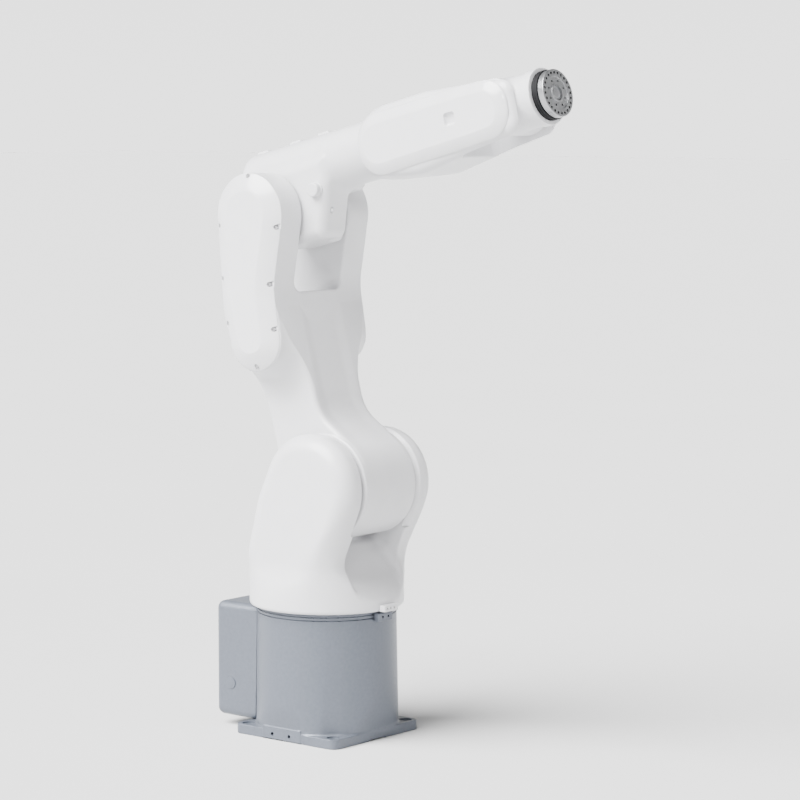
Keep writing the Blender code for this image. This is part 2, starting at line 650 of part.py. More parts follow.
def elbow_casting():
    """Tube about the fourth axis on a block that turns between the tines."""
    length = ELBOW_FRONT + 0.055
    middle = (ELBOW_FRONT - 0.055) / 2
    body = turned([(0.0, length / 2), (ELBOW_R, length / 2), (ELBOW_R, 0.014 - length / 2),
                   (ELBOW_R - 0.006, 0.004 - length / 2), (ELBOW_R - 0.014, -length / 2), (0.0, -length / 2)],
                  (middle, 0, ELBOW_OFFSET), "X", 28)
    join(body, crowned(ELBOW_BLOCK, -ELBOW_HALF, ELBOW_HALF, 0.006, 0.006))
    for x in PADS:
        pad = block((0.020, 0.016, 0.012), (x, 0, ELBOW_OFFSET + ELBOW_R - 0.0042), 0.002)
        join(body, pad)
    cut(body, rod(0.0352, 0.300, (0.040, 0, ELBOW_OFFSET), "X", 18))
    cut(body, block((0.090, 0.060, 0.090), (0.0950, 0.0380, -0.0330)))
    cut(body, sheet(rounded(shrunk(ELBOW_BLOCK, 0.010)), -ELBOW_HALF + 0.008, -0.0020))
    cut(body, sheet(rounded([(0.0400, -0.0380, 0.005), (0.0400, 0.0400, 0.005), (-0.0300, 0.0400, 0.005),
                             (-0.0300, -0.0380, 0.020)]), -ELBOW_HALF + 0.0085, ELBOW_HALF - 0.008))
    cut(body, rod(0.0250, 0.0200, (0, -ELBOW_HALF, 0), "Y", 16))
    cut(body, rod(0.0210, 0.0200, (0, ELBOW_HALF, 0), "Y", 16))
    cut(body, rod(0.0125, 0.0200, (0.0930, -ELBOW_HALF, 0.0165), "Y", 18))
    return finish(body, "elbow_casting", WHITE, ELBOW)


def elbow_parts():
    """Plug, end cap, joint bosses, fourth axis motor and reducer."""
    plug = rod(0.0120, 0.0080, (0.0930, -ELBOW_HALF + 0.003, 0.0165), "Y", 18)
    join(plug, rod(0.0090, 0.0100, (0.0930, -ELBOW_HALF - 0.0045, 0.0165), "Y", 18))
    finish(plug, "elbow_plug", WHITE, ELBOW)
    adopt(rod(0.0270, 0.0040, (-0.0572 - GAP, 0, ELBOW_OFFSET), "X", 14), "elbow_rear_cap", COVER, ELBOW)
    near = turned([(0.0, 0.0), (0.0245, 0.0), (0.0245, -0.0150), (0.0, -0.0150)], (0, 0, 0), "Y", 16)
    near.data.transform(Matrix.Translation((0, -FORK_IN + 0.0155, 0)))
    adopt(near, "j3_output_boss", STEEL, ELBOW)
    adopt(ring(0.0205, 0.0120, 0.0300, (0, FORK_IN + 0.0025, 0), "Y", 16), "j3_pivot_sleeve", STEEL, ELBOW)
    motor = block((0.060, 0.046, 0.046), (-0.015, 0, ELBOW_OFFSET), 0.004)
    join(motor, rod(0.0060, 0.026, (0.026, 0, ELBOW_OFFSET), "X", 12))
    finish(motor, "j4_motor", MOTOR, ELBOW)
    adopt(ring(0.0340, 0.0070, 0.0420, (0.0600, 0, ELBOW_OFFSET), "X", 14), "j4_reducer", STEEL, ELBOW)
    adopt(ring(0.0340, 0.0282, 0.0160, (0.1620, 0, ELBOW_OFFSET), "X", 14), "j4_bearing", STEEL, ELBOW)


# ---------------------------------------------------------------- forearm
SHELL = [(0.0050, -0.0470, 0.0), (0.1800, -0.0550, 0.06), (0.2790, -0.0440, 0.022), (0.2790, 0.0400, 0.020),
         (0.2000, 0.0500, 0.10), (0.0050, 0.0490, 0.0)]
OVAL = [(0.0060, -0.0370, 0.036), (0.2000, -0.0400, 0.10), (0.2700, -0.0345, 0.034), (0.2700, 0.0350, 0.033),
        (0.2000, 0.0370, 0.10), (0.0060, 0.0370, 0.036)]
THROAT_X = J5_X - THROAT


def forearm_casting():
    """Round at the joint, squarer towards the fork that carries the wrist, with a pocket on each side."""
    body = crowned(SHELL, -FOREARM_HALF, FOREARM_HALF, 0.014, 0.014)
    limit = turned([(0.0, 0.0), (0.0440, 0.0), (0.0800, 0.0500), (0.0800, 0.3000), (0.0, 0.3000)], (0, 0, 0), "X", 32)
    combine(body, limit, "INTERSECT")
    join(body, turned([(0.0, 0.0800), (0.0480, 0.0800), (FOREARM_R, 0.0550), (FOREARM_R - 0.0010, 0.0300),
                       (0.0445, 0.0), (0.0, 0.0)], (0, 0, 0), "X", 32))
    cut(body, block((THROAT + 0.100, 2 * TINE_IN, 0.200), (THROAT_X + (THROAT + 0.100) / 2, 0, 0)))
    cut(body, rod(0.0345, 0.280, (0.1400 + 0.0100, 0, 0), "X", 18))
    for side in (-1, 1):
        low, high = sorted((side * (TINE_IN + 0.0045), side * (FOREARM_HALF + 0.020)))
        cut(body, sheet(rounded(shrunk(OVAL, 0.004)), low, high))
        low, high = sorted((side * (FOREARM_HALF + GAP / 3), side * (FOREARM_HALF + 0.020)))
        cut(body, sheet(rounded(shrunk(OVAL, -GAP)), low, high))
        cut(body, block((0.110, 0.030, 0.050), (0.0900, side * 0.035, -0.001)))
        cut(body, rod(0.0240, 0.030, (J5_X, side * 0.042, 0), "Y", 16))
    cut(body, rod(0.0275, 0.030, (0.0050, 0, 0), "X", 14))
    return finish(body, "forearm_casting", WHITE, FOREARM)


def forearm_cover(name, side):
    """Long oval side cover over a belt, bevelled all round its flat face."""
    rim = side * (FOREARM_HALF + GAP)
    face = side * FCOVER_OUT
    low, high = sorted((rim, face))
    edges = (0.0070, 0.0) if side < 0 else (0.0, 0.0070)
    shell = crowned(OVAL, low, high, *edges, steps=3)
    low, high = sorted((rim - side * 0.01, face - side * 0.0025))
    edges = (0.0050, 0.0) if side < 0 else (0.0, 0.0050)
    cut(shell, crowned(shrunk(OVAL, 0.0030), low, high, *edges, steps=2))
    return finish(shell, name, COVER, FOREARM)


def forearm_drive():
    """Fifth and sixth axis motors side by side, each with its belt on one side of the forearm."""
    adopt(turned([(0.0, 0.0), (0.0265, 0.0), (0.0265, -0.0250), (0.0, -0.0250)], (-0.0100, 0, 0), "X", 14),
          "j4_output_boss", STEEL, FOREARM)
    for side, name, x in ((-1, "j5", 0.0620), (1, "j6", 0.1180)):
        motor = block((0.040, 0.060, 0.040), (x, side * -0.012, 0), 0.003)
        join(motor, rod(0.0040, 0.034, (x, side * 0.034, 0), "Y", 12))
        finish(motor, name + "_motor", MOTOR, FOREARM)
        y = side * 0.0515
        pulley(name + "_motor_pulley", 0.0090, (x, y, 0), 0.0060, FOREARM, 0.0043)
        pulley(name + "_input_pulley", 0.0160, (J5_X, y, 0), 0.0060, FOREARM, 0.0043)
        belt(name + "_belt", (x, 0), 0.0090, (J5_X, 0), 0.0160, y, 0.0054, FOREARM)
    for side, name, inner in ((-1, "j5_reducer", 0.0045), (1, "j5_bearing", 0.0120)):
        adopt(ring(0.0235, inner, 0.0060, (J5_X, side * (TINE_IN + 0.0035), 0), "Y"), name, STEEL, FOREARM)


# ---------------------------------------------------------------- wrist and flange
def wrist_casting():
    """Hub between the tines and the round nose that holds the sixth axis."""
    body = rod(WRIST_HUB_R, 2 * WRIST_HALF, (0, 0, 0), "Y", 28)
    join(body, turned([(0.0, 0.0610), (0.0375, 0.0610), (0.0388, 0.0597), (0.0388, 0.0470), (NOSE_R, 0.0457), (NOSE_R, 0.0),
                       (0.0, 0.0)],
                      (0, 0, 0), "X", 28))
    cut(body, rod(0.0300, 0.0400, (0.0450, 0, 0), "X", 18))
    cut(body, rod(0.0290, 2 * WRIST_HALF - 0.014, (0, 0, 0), "Y", 18))
    cut(body, rod(0.0105, 0.120, (0, 0, 0), "Y", 16))
    return finish(body, "wrist_casting", WHITE, WRIST)


def bevel_gear(name, big, small, length, centre, axis, bore=0.0035):
    """A bevel gear blank: a cone frustum on a bore."""
    gear = rod(big, length, centre, axis, 20, small)
    cut(gear, rod(bore, 0.1, centre, axis, 12))
    return finish(gear, name, STEEL, WRIST)


def wrist_parts():
    """Bevel gears, reducer, seal and flange."""
    bevel_gear("j6_bevel_pinion", 0.0130, 0.0070, 0.0090, (0.0, 0.0150, 0.0), "Y")
    bevel_gear("j6_bevel_gear", 0.0070, 0.0130, 0.0090, (0.0150, 0.0, 0.0), "X")
    adopt(ring(0.0295, 0.0100, 0.0180, (0.0420, 0, 0), "X", 14), "j6_reducer", STEEL, WRIST)
    seal = turned([(0.0200, 0.0705), (0.0325, 0.0705), (0.0340, 0.0690), (0.0340, 0.0614), (0.0200, 0.0614)],
                  (0, 0, 0), "X", 28, True)
    adopt(seal, "wrist_seal", RUBBER, WRIST)


def tool_flange():
    """Flange disc with a ring of tapped holes, a pilot bore and the shaft into the wrist."""
    face = WRIST_LENGTH
    disc = turned([(0.0, face), (FLANGE_R - 0.001, face), (FLANGE_R, face - 0.001), (FLANGE_R, face - 0.0090),
                   (0.0190, face - 0.0090), (0.0190, 0.0520), (0.0, 0.0520)], (0, 0, 0), "X", 28)
    cut(disc, rod(0.0100, 0.0120, (face, 0, 0), "X", 18))
    for k in range(8):
        angle = math.radians(22.5 + 45.0 * k)
        y, z = 0.0158 * math.cos(angle), 0.0158 * math.sin(angle)
        cut(disc, rod(0.0025, 0.0140, (face, y, z), "X", 8))
    return finish(disc, "tool_flange", ALU, WRIST)


# ---------------------------------------------------------------- make everything
base_casting()
connector_box()
rear_panel()
panel_hardware()
base_drive()
base_harness()
zero_mark_block()
turret_casting()
zero_tab()
turret_drive()
turret_harness()
lower_arm_casting()
lower_arm_cover("lower_arm_cover_right", -1)
lower_arm_cover("lower_arm_cover_left", 1)
lower_arm_drive()
lower_arm_harness()
elbow_casting()
elbow_parts()
forearm_casting()
forearm_cover("forearm_cover_right", -1)
forearm_cover("forearm_cover_left", 1)
forearm_drive()
wrist_casting()
wrist_parts()
tool_flange()
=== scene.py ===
import json
import math

import bpy
import numpy as np
from mathutils import Matrix, Vector


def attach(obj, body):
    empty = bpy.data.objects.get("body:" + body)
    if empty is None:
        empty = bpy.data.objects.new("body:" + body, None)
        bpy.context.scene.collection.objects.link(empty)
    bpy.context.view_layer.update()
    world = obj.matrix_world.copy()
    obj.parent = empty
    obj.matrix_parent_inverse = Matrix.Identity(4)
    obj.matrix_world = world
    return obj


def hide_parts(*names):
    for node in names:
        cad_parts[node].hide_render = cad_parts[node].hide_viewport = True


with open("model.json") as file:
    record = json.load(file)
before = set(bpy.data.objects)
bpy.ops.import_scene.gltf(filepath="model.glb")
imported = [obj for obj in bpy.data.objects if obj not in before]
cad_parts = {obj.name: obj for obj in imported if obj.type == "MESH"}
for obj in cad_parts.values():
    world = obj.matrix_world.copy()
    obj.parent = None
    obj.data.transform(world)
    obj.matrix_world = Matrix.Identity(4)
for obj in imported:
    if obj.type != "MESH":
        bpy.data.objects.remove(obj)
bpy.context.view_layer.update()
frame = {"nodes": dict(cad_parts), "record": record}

# Every shell is a signed distance field in its own link's frame, turned into a dense mesh.
# Metres throughout: +X forward, +Y to the arm's left, +Z up; outlines are drawn in XZ.

# ---------------------------------------------------------------- places of the links
LEAN = math.radians(15.6)             # lower arm, backwards
PITCH = math.radians(13.8)            # forearm, upwards
UPPER_ARM = 0.394
ELBOW_OFFSET = 0.055
FOREARM_START = 0.1762
FOREARM_LENGTH = 0.415
WRIST_X = FOREARM_LENGTH - FOREARM_START


class Link:
    """A link's own frame: an origin, and the tilt of its X axis above the horizontal."""

    def __init__(self, body, x=0.0, z=0.0, tilt=0.0, base=None):
        self.body = body
        turn = Matrix.Rotation(-tilt, 4, "Y")
        start = base.matrix.to_translation() if base else Vector()
        along = base.matrix.to_3x3() @ Vector((x, 0, z)) if base else Vector((x, 0, z))
        self.matrix = Matrix.Translation(start + along) @ turn


BASE = Link("base")
TURRET = Link("turret")
SHOULDER = Link("lower_arm", 0.045, 0.364, LEAN)
ELBOW = Link("elbow", 0.0, UPPER_ARM, PITCH, SHOULDER)
FOREARM = Link("forearm", FOREARM_START, ELBOW_OFFSET, PITCH, ELBOW)
WRIST = Link("wrist", WRIST_X, 0.0, PITCH, FOREARM)
FLANGE = Link("flange", WRIST_X, 0.0, PITCH, FOREARM)


# ---------------------------------------------------------------- distance fields
def outline(corners):
    """Signed distance to a closed line of straights and true arcs: corners (u, v, radius), anticlockwise."""
    spots = np.array([corner[:2] for corner in corners], float)
    radii = np.array([corner[2] for corner in corners], float)
    ins = spots - np.roll(spots, 1, axis=0)
    ins /= np.linalg.norm(ins, axis=1)[:, None]
    outs = np.roll(ins, -1, axis=0)
    turns = np.arctan2(ins[:, 0] * outs[:, 1] - ins[:, 1] * outs[:, 0], (ins * outs).sum(axis=1))
    reach = radii * np.tan(np.abs(turns) / 2)
    starts = spots - ins * reach[:, None]
    ends = spots + outs * reach[:, None]
    side = np.sign(turns)
    centres = starts + np.stack([-ins[:, 1], ins[:, 0]], axis=1) * (side * radii)[:, None]

    def distance(u, v):
        best = None
        for i in range(len(corners)):
            a, b = ends[i], starts[(i + 1) % len(corners)]
            ux, uy = outs[i]
            length = max((b - a) @ outs[i], 0.0)
            along = np.clip((u - a[0]) * ux + (v - a[1]) * uy, 0.0, length)
            du, dv = u - a[0] - along * ux, v - a[1] - along * uy
            size = np.hypot(du, dv)
            value = np.where((u - a[0]) * uy - (v - a[1]) * ux >= 0, size, -size)
            best = value if best is None else np.where(size < np.abs(best), value, best)
            cx, cy = centres[i]
            mx, my = (spots[i] - centres[i]) / max(np.linalg.norm(spots[i] - centres[i]), 1e-12)
            away = np.hypot(u - cx, v - cy)
            value = side[i] * (away - radii[i])
            within = (u - cx) * mx + (v - cy) * my >= away * math.cos(turns[i] / 2)
            best = np.where(within & (np.abs(value) < np.abs(best)), value, best)
        return best

    return distance


def edged(a, b, radius):
    """Where both distances are negative, the edge between them rounded to a radius."""
    u, v = a + radius, b + radius
    return np.minimum(np.maximum(u, v), 0.0) + np.hypot(np.maximum(u, 0.0), np.maximum(v, 0.0)) - radius


def banded(a, b, width, depth, power=1.35):
    """The same with a broad band, nearly flat: its width is across the face, its depth down the side."""
    u, v = np.maximum(a / width + 1.0, 0.0), np.maximum(b / depth + 1.0, 0.0)
    across = (u ** power + v ** power + 1e-12) ** (1.0 / power) - 1.0
    return np.maximum(across * min(width, depth), np.maximum(a, b))


def melted(a, b, blend):
    """Either shape, with a soft fillet of about this size where they meet."""
    share = np.clip(0.5 + 0.5 * (b - a) / blend, 0.0, 1.0)
    return b + (a - b) * share - blend * share * (1.0 - share)


def carved(a, b, blend):
    """The first shape without the second, the edge softened."""
    return -melted(-a, b, blend)


def eased(share):
    """0 to 1 with soft ends."""
    share = np.clip(share, 0.0, 1.0)
    return share * share * (3.0 - 2.0 * share)


def slab(value, low, high):
    return np.maximum(low - value, value - high)


def round_bar(u, v, along, radius, low, high, edge):
    """A round bar between two heights, its rims rounded."""
    return edged(np.hypot(u, v) - radius, slab(along, low, high), edge)


def cuboid(x, y, z, centre, size, edge):
    """A box with rounded edges and corners."""
    gaps = [np.abs(value - middle) - side / 2 + edge for value, middle, side in zip((x, y, z), centre, size)]
    outside = np.sqrt(sum(np.maximum(gap, 0.0) ** 2 for gap in gaps))
    return outside + np.minimum(np.maximum(np.maximum(gaps[0], gaps[1]), gaps[2]), 0.0) - edge


# ---------------------------------------------------------------- from field to mesh
def slopes(field, points, small=2e-5):
    """Unit normals of the field at some points."""
    result = np.empty_like(points)
    for axis in range(3):
        step = np.zeros(3)
        step[axis] = small
        ahead, behind = (points + step).T, (points - step).T
        result[:, axis] = (field(*ahead) - field(*behind)) / (2 * small)
    return result


def crossings(field, grid, origin, step, axis):
    """Where the grid's edges along one axis pass through the surface: edge indices, way out, points."""
    inside = grid < 0
    near, far = [slice(None)] * 3, [slice(None)] * 3
    near[axis], far[axis] = slice(None, -1), slice(1, None)
    index = np.argwhere(inside[tuple(near)] != inside[tuple(far)])
    nudge = np.eye(3, dtype=int)[axis]
    first, second = grid[tuple(index.T)], grid[tuple((index + nudge).T)]
    points = origin + (index + nudge * (first / (first - second))[:, None]) * step
    points[:, axis] -= field(*points.T) * step / (second - first)
    return index, first < 0, points


def skin(field, low, high, step):
    """Vertices and quads on a field's zero surface, its sharp edges kept (dual contouring)."""
    origin = np.array(low, float)
    counts = np.ceil((np.array(high) - origin) / step).astype(int) + 1
    lines = [origin[k] + step * np.arange(counts[k]) for k in range(3)]
    grid = np.array(np.broadcast_to(field(lines[0][:, None, None], lines[1][None, :, None],
                                          lines[2][None, None, :]), counts))
    found = [crossings(field, grid, origin, step, axis) for axis in range(3)]
    quads, points, ways = [], [], []
    for axis, (index, _, spots) in enumerate(found):
        u, v = np.eye(3, dtype=int)[(axis + 1) % 3], np.eye(3, dtype=int)[(axis + 2) % 3]
        cells = np.stack([index, index - u, index - u - v, index - v], axis=1)
        quads.append(np.ravel_multi_index(cells.reshape(-1, 3).T, counts).reshape(-1, 4))
        points.append(spots)
        ways.append(found[axis][1])
    quads, points, ways = np.concatenate(quads), np.concatenate(points), np.concatenate(ways)
    normals = slopes(field, points)
    normals /= np.linalg.norm(normals, axis=1)[:, None]
    cells, quads = np.unique(quads, return_inverse=True)
    quads = quads.reshape(-1, 4)
    vertices = settled(quads, points, normals, len(cells), step)
    quads[~ways] = quads[~ways][:, ::-1]
    return vertices, quads


def settled(quads, points, normals, count, step):
    """One vertex to a cell, where the tangent planes of its crossings meet as nearly as they can."""
    owner = quads.reshape(-1)
    spread = np.repeat(np.arange(len(points)), 4)
    total = lambda values: np.bincount(owner, weights=values[spread], minlength=count)
    number = total(np.ones(len(points)))
    middle = np.stack([total(points[:, k]) for k in range(3)], axis=1) / number[:, None]
    height = (normals * points).sum(axis=1)
    pull = 0.02 * number
    matrix = np.empty((count, 3, 3))
    target = np.empty((count, 3))
    for i in range(3):
        target[:, i] = total(normals[:, i] * height) + pull * middle[:, i]
        for j in range(3):
            matrix[:, i, j] = total(normals[:, i] * normals[:, j]) + (pull if i == j else 0.0)
    vertices = np.linalg.solve(matrix, target[:, :, None])[:, :, 0]
    return middle + np.clip(vertices - middle, -step, step)


def piece(name, link, vertices, faces, sharp=38.0):
    """A mesh object made in a link's frame, shaded smooth but for its sharp edges."""
    mesh = bpy.data.meshes.new(name)
    mesh.vertices.add(len(vertices))
    mesh.vertices.foreach_set("co", np.asarray(vertices, np.float32).ravel())
    mesh.loops.add(faces.size)
    mesh.loops.foreach_set("vertex_index", faces.astype(np.int32).ravel())
    mesh.polygons.add(len(faces))
    mesh.polygons.foreach_set("loop_start", np.arange(0, faces.size, faces.shape[1], dtype=np.int32))
    mesh.update(calc_edges=True)
    mesh.validate()
    return placed(name, link, mesh, sharp)


def placed(name, link, mesh, sharp=38.0):
    mesh.transform(link.matrix)
    mesh.shade_smooth()
    mesh.set_sharp_from_angle(angle=math.radians(sharp))
    obj = bpy.data.objects.new(name, mesh)
    bpy.context.scene.collection.objects.link(obj)
    return obj


def shell(name, link, field, low, high, step, node, slot, mat):
    """A finished piece from a field, standing for a CAD node."""
    vertices, quads = skin(field, low, high, step)
    return dressed(piece(name, link, vertices, quads), link.body, slot, mat, node)


def dressed(obj, body, slot, mat, *nodes):
    obj.data.materials.clear()
    obj.data.materials.append(mat)
    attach(obj, body)
    if nodes:
        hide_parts(*nodes)
    return obj


# ---------------------------------------------------------------- materials
def node(tree, kind, **values):
    made = tree.nodes.new(kind)
    for key, value in values.items():
        if key in made.inputs:
            made.inputs[key].default_value = value
        else:
            setattr(made, key, value)
    return made


def finish(name, dark, light, smooth, rough, scale, bump, metallic=0.0, coat=0.0, grain=(1, 1, 1), fine=6.0):
    """A procedural finish: soft mottling of colour and roughness, and a fine bumped grain over it."""
    mat = bpy.data.materials.new(name)
    mat.use_nodes = True
    tree = mat.node_tree
    shader = tree.nodes["Principled BSDF"]
    shader.inputs["Metallic"].default_value = metallic
    shader.inputs["Coat Weight"].default_value = coat
    shader.inputs["Coat Roughness"].default_value = 0.12
    place = node(tree, "ShaderNodeTexCoord")
    stretch = node(tree, "ShaderNodeMapping")
    stretch.inputs["Scale"].default_value = grain
    broad = node(tree, "ShaderNodeTexNoise", Scale=scale, Detail=5.0, Roughness=0.55)
    close = node(tree, "ShaderNodeTexNoise", Scale=scale * fine, Detail=3.0, Roughness=0.6)
    tint = node(tree, "ShaderNodeMix", data_type="RGBA")
    tint.inputs["A"].default_value = (*dark, 1)
    tint.inputs["B"].default_value = (*light, 1)
    sheen = node(tree, "ShaderNodeMapRange")
    sheen.inputs["From Min"].default_value, sheen.inputs["From Max"].default_value = 0.3, 0.7
    sheen.inputs["To Min"].default_value, sheen.inputs["To Max"].default_value = smooth, rough
    relief = node(tree, "ShaderNodeBump", Strength=bump, Distance=0.0004)
    link = tree.links.new
    link(place.outputs["Object"], stretch.inputs["Vector"])
    for texture in (broad, close):
        link(stretch.outputs["Vector"], texture.inputs["Vector"])
    link(broad.outputs["Fac"], tint.inputs["Factor"])
    link(broad.outputs["Fac"], sheen.inputs["Value"])
    link(close.outputs["Fac"], relief.inputs["Height"])
    link(tint.outputs["Result"], shader.inputs["Base Color"])
    link(sheen.outputs["Result"], shader.inputs["Roughness"])
    link(relief.outputs["Normal"], shader.inputs["Normal"])
    return mat


WHITE = finish("satin_white_paint", (0.59, 0.59, 0.605), (0.64, 0.64, 0.655), 0.30, 0.38, 40.0, 0.015, coat=0.15)
COVER = finish("gloss_white_cover", (0.62, 0.62, 0.635), (0.67, 0.67, 0.685), 0.21, 0.27, 40.0, 0.010, coat=0.3)
GREY = finish("blue_grey_paint", (0.088, 0.099, 0.122), (0.128, 0.142, 0.170), 0.32, 0.46, 220.0, 0.25,
              metallic=0.35, fine=5.0)
STEEL = finish("ground_steel", (0.42, 0.42, 0.43), (0.56, 0.56, 0.57), 0.22, 0.36, 90.0, 0.2, metallic=1.0,
               grain=(1, 1, 12))
ALUMINIUM = finish("turned_aluminium", (0.34, 0.345, 0.355), (0.44, 0.445, 0.455), 0.26, 0.38, 120.0, 0.2,
                   metallic=1.0, grain=(1, 1, 6))
BRASS = finish("plated_brass", (0.60, 0.46, 0.20), (0.74, 0.60, 0.32), 0.20, 0.32, 150.0, 0.1, metallic=1.0)
RUBBER = finish("matt_rubber", (0.005, 0.005, 0.006), (0.010, 0.010, 0.011), 0.55, 0.70, 200.0, 0.3)
RUBBER.node_tree.nodes["Principled BSDF"].inputs["Specular IOR Level"].default_value = 0.15
BLACK = finish("matt_black", (0.020, 0.020, 0.022), (0.040, 0.040, 0.043), 0.42, 0.56, 160.0, 0.2)
OF_SLOT = {"white_paint": WHITE, "white_cover": COVER, "grey_paint": GREY, "steel": STEEL, "aluminium": ALUMINIUM,
           "brass": BRASS, "rubber": RUBBER, "motor_black": BLACK}


# ---------------------------------------------------------------- base
FOOT_HALF, FOOT_TOP = 0.095, 0.014
BASE_TOP = 0.1864
BOLT = 0.080
BOX_REAR, BOX_HALF, BOX_TOP = -0.159, 0.065, 0.182


def wall_radius(z):
    return 0.1000 + 0.0032 * (BASE_TOP - z) / 0.1824


def base_field(x, y, z):
    """Drafted round wall on a square foot, a narrow tapering flat over each corner bolt."""
    rho = np.hypot(x, y)
    wall = edged(rho - wall_radius(z), slab(z, 0.004, BASE_TOP), 0.0015)
    groove = np.maximum(0.0980 - rho, np.abs(np.abs(z - 0.1798) - 0.0024) - 0.0007)
    wall = np.maximum(wall, -groove)
    facet = (np.abs(x) + np.abs(y)) * math.sqrt(0.5) - 0.1018 + 0.0063 * (z - FOOT_TOP)
    wall = -melted(-wall, -facet, 0.0006)
    side = np.maximum(np.abs(x), np.abs(y)) - FOOT_HALF + 0.0006 - 0.012 * eased((z - 0.010) / 0.055)
    wall = -melted(-wall, -side, 0.006)
    plan = FOOT_OUTLINE(x, y)
    body = melted(wall, edged(plan, slab(z, 0.0, FOOT_TOP), 0.0016), 0.004)
    corner = np.hypot(np.abs(x) - BOLT, np.abs(y) - BOLT)
    body = np.maximum(body, -np.maximum(corner - 0.0055, z - 0.02))
    body = np.maximum(body, -np.maximum(corner - 0.0095, FOOT_TOP - 0.0025 - z))
    pad = cuboid(x, np.abs(y), z, (-0.003, FOOT_HALF - 0.0045, 0.0105), (0.072, 0.0120, 0.0180), 0.0015)
    body = melted(body, pad, 0.001)
    for along in (-0.0205, 0.0115):
        body = np.maximum(body, -np.maximum(np.hypot(x - along, z - 0.0085) - 0.0026, 0.088 - np.abs(y)))
    relief = np.minimum(cuboid(x, np.abs(y), z, (-0.020, FOOT_HALF, 0.0), (0.040, 0.03, 0.004), 0.0005),
                        cuboid(x, y, z, (FOOT_HALF, 0.0, 0.0), (0.03, 0.036, 0.004), 0.0005))
    body = np.maximum(body, -relief)
    lower = np.maximum(rho - 0.0900, slab(z, 0.012, 0.122))
    upper = np.maximum(rho - 0.0800, slab(z, 0.115, 0.2))
    return np.maximum(body, -np.minimum(lower, upper))


FOOT_OUTLINE = outline([(FOOT_HALF, FOOT_HALF, 0.012), (-FOOT_HALF, FOOT_HALF, 0.012),
                        (-FOOT_HALF, -FOOT_HALF, 0.012), (FOOT_HALF, -FOOT_HALF, 0.012)])


def box_field(x, y, z):
    """Rear housing, fitted round the wall, open at the back for the socket panel, with a plain cap on one side."""
    middle = (BOX_REAR + -0.060) / 2
    solid = cuboid(x, y, z, (middle, 0, (BOX_TOP + 0.0145) / 2), (-0.060 - BOX_REAR, 2 * BOX_HALF, BOX_TOP - 0.0145),
                   0.0110)
    solid = np.maximum(solid, wall_radius(z) + 0.0004 - np.hypot(x, y))
    opening = edged(np.maximum(np.abs(y) - 0.049, np.abs(z - 0.095) - 0.065), x + 0.140, 0.0005)
    solid = np.maximum(solid, -opening)
    cap = round_bar(x + 0.128, z - 0.064, -y, 0.0085, 0.060, BOX_HALF + 0.0012, 0.0008)
    return np.minimum(solid, cap)


def zero_block_field(x, y, z):
    block = cuboid(x, y, z, (0.1047, 0, 0.1790), (0.010, 0.030, 0.012), 0.0015)
    block = np.maximum(block, 0.1004 - np.hypot(x, y))
    for across in (-0.006, 0.006):
        block = np.maximum(block, -np.maximum(np.hypot(y - across, z - 0.179) - 0.0018, 0.104 - x))
    return block


# ---------------------------------------------------------------- turret
HUB_R = 0.0755
CHEEK_IN, CHEEK_OUT = 0.0575, 0.1000
TURRET_R, TURRET_BOTTOM = 0.111, 0.1872
CHEEK = outline([(0.1205, 0.4395, HUB_R), (-0.012, 0.4395, HUB_R), (-0.055, 0.347, 0.10), (-0.0805, 0.250, 0.12),
                 (-0.0805, 0.100, 0.005), (0.1600, 0.100, 0.005), (0.1600, 0.196, 0.005), (0.0720, 0.236, 0.04),
                 (0.1205, 0.3470, HUB_R)])
SADDLE = outline([(0.170, 0.203, 0.002), (0.170, 0.480, 0.002), (-0.140, 0.480, 0.002), (-0.140, 0.200, 0.002),
                  (-0.100, 0.200, 0.02), (-0.030, 0.240, 0.03), (0.010, 0.278, 0.018), (0.045, 0.280, 0.018),
                  (0.078, 0.240, 0.03), (0.108, 0.203, 0.012)])


def turret_field(x, y, z):
    """Two cheeks that flare smoothly out of a round foot, with a saddle between them for the arm."""
    rho = np.hypot(x, y)
    cheeks = edged(CHEEK(x, z), np.abs(y) - CHEEK_OUT, 0.026)
    flare = rho - 0.1112 - 3.15 * np.maximum(z - 0.225, 0.0) ** 1.92
    body = -melted(-cheeks, -flare, 0.010)
    drum = edged(edged(rho - TURRET_R, z - 0.2300, 0.036), TURRET_BOTTOM - z, 0.0012)
    body = melted(body, drum, 0.034)
    body = np.maximum(body, TURRET_BOTTOM - z)
    limit = rho - TURRET_R - 3.15 * np.maximum(z - 0.212, 0.0) ** 1.92
    body = np.maximum(-melted(-body, -limit, 0.006), limit)
    saddle = edged(SADDLE(x, z), np.abs(y) - CHEEK_IN, 0.014)
    body = carved(body, saddle, 0.004)
    rim = (CHEEK(x, z) + CHEEK_IN - np.abs(y) + 0.0075) * math.sqrt(0.5) - 3.0 * np.maximum(0.300 - z, 0.0)
    body = np.maximum(body, rim)
    rim = (CHEEK(x, z) + 1.6 * (CHEEK_IN - np.abs(y)) + 0.0050) / 1.9 - 3.0 * np.maximum(0.300 - z, 0.0)
    body = np.maximum(body, rim)
    seat = np.maximum(np.hypot(x - 0.045, z - 0.364) - 0.0480, np.abs(np.abs(y) - 0.066) - 0.012)
    body = np.maximum(body, -seat)
    core = np.maximum(rho - 0.0620, z - 0.1900)
    return np.maximum(body, -core)


def zero_tab_field(x, y, z):
    tab = cuboid(x, y, z, (0.1157, 0, 0.1925), (0.010, 0.030, 0.0095), 0.0015)
    tab = np.maximum(tab, 0.1114 - np.hypot(x, y))
    for across in (-0.009, -0.002, 0.006):
        tab = np.maximum(tab, -np.maximum(np.hypot(y - across, z - 0.1925) - 0.0015, 0.114 - x))
    return tab


